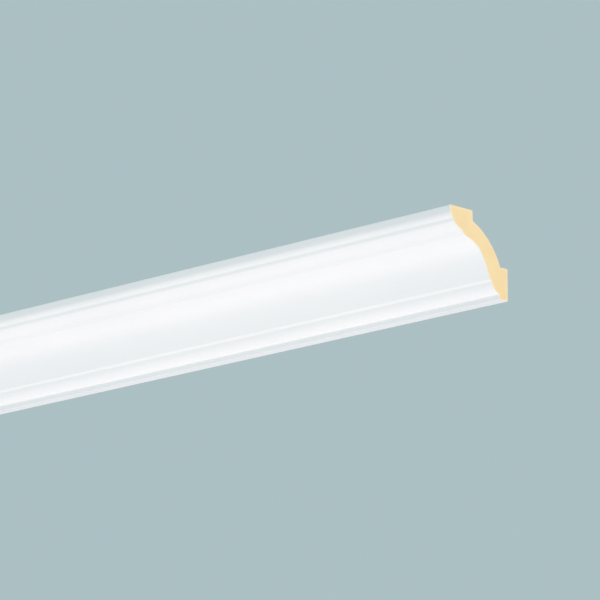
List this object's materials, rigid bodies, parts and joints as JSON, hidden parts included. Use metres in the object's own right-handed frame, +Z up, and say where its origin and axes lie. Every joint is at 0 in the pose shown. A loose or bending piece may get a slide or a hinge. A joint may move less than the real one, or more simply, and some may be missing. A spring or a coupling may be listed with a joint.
{
  "type": "crown moulding length",
  "caption": "Straight length of crown moulding that bridges a ceiling and wall corner: stepped upper members, a wide cove, a lower ovolo and foot, a hollow back and square-cut ends.",
  "frame": {"origin": "middle of the flat face that lies on the wall", "axes": "+X along the moulding, +Y into the wall, +Z up towards the ceiling"},
  "size_m": [1, 0.092, 0.0919],
  "materials": {
    "primed_face": "smooth white factory primer on moulded foam, soft satin",
    "foam_core": "cream rigid foam laid bare by the square cut at each end, fine closed cells, matt",
    "foam_back": "bare moulded foam skin on the hidden back, dull, with primer mist near its edges"
  },
  "bodies": {
    "root": {"crown_moulding": "primed_face"}
  },
  "joints": []
}
